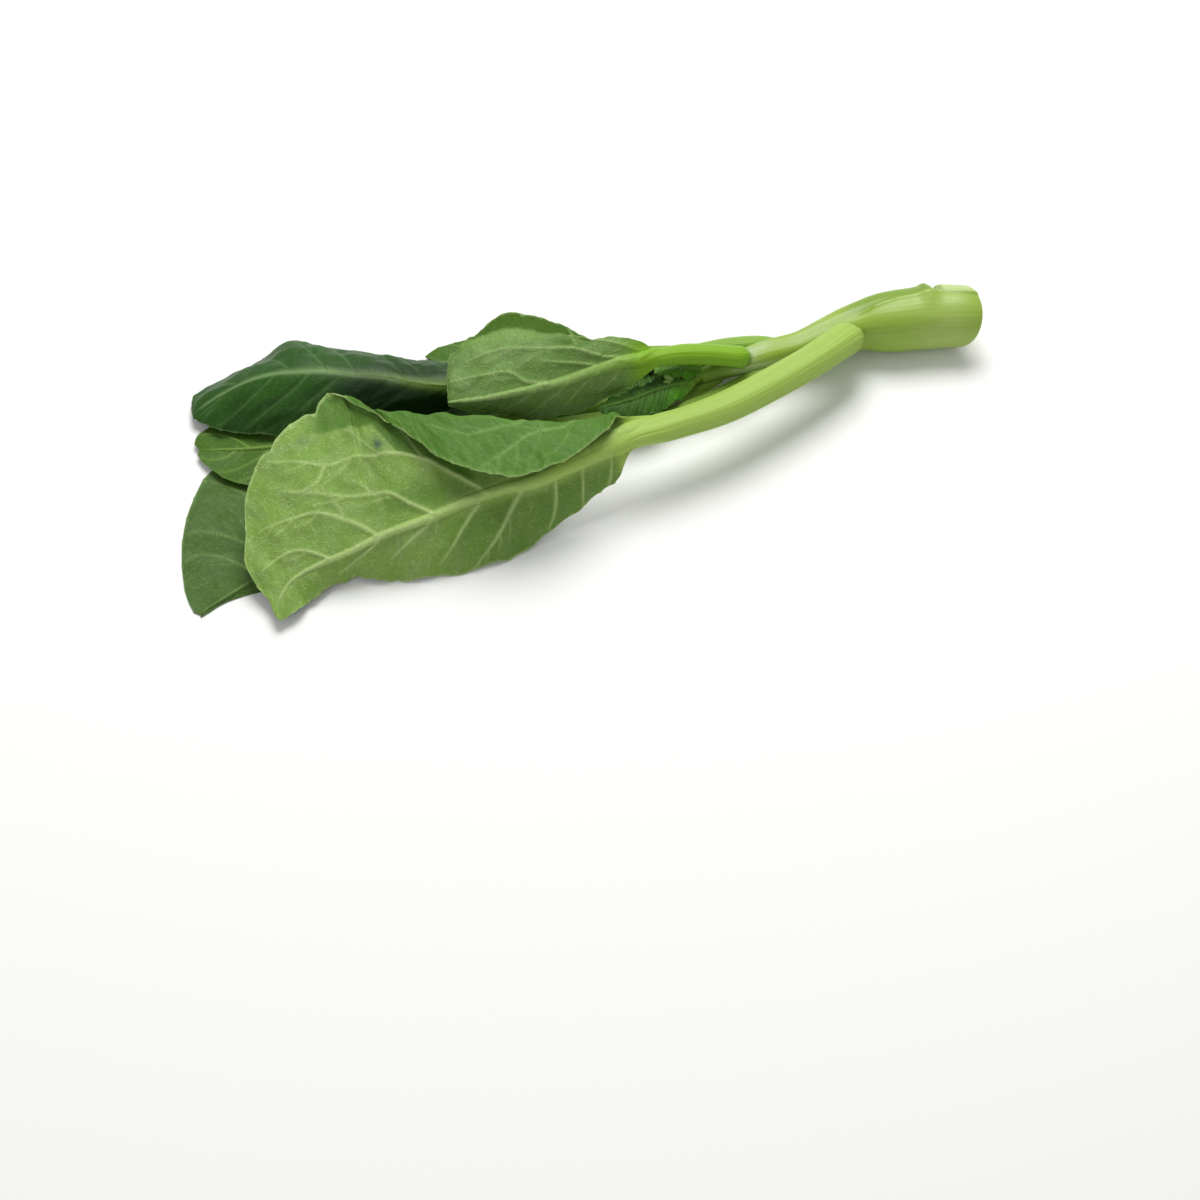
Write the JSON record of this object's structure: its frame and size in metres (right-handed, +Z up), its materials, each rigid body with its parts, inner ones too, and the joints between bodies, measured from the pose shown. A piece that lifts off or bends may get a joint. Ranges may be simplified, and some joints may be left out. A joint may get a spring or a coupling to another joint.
{
  "type": "choy sum stalk",
  "caption": "Cut leafy choy sum stalk lying on its side, with a smooth pale stem, long leaf stalks, broad veined leaves and a young budding tip.",
  "frame": {"origin": "middle of the footprint's bounding box, at the height of the surface that the stem and the lowest leaf lie on", "axes": "+X along the stalk from the leaf tips towards the stem's cut end, +Y towards the side that the smallest lower leaf lies on, +Z up"},
  "size_m": [0.2839, 0.1407, 0.0352],
  "materials": {
    "stem": "satin",
    "leaf_1": "satin",
    "leaf_2": "satin",
    "leaf_3": "satin",
    "leaf_4": "satin",
    "leaf_5": "satin",
    "leaf_6": "satin",
    "shoot_tip": "satin"
  },
  "bodies": {
    "root": {"stem": "stem", "leaf_1": "leaf_1", "leaf_2": "leaf_2", "leaf_3": "leaf_3", "leaf_4": "leaf_4", "leaf_5": "leaf_5", "leaf_6": "leaf_6", "shoot_tip": "shoot_tip"}
  },
  "joints": []
}
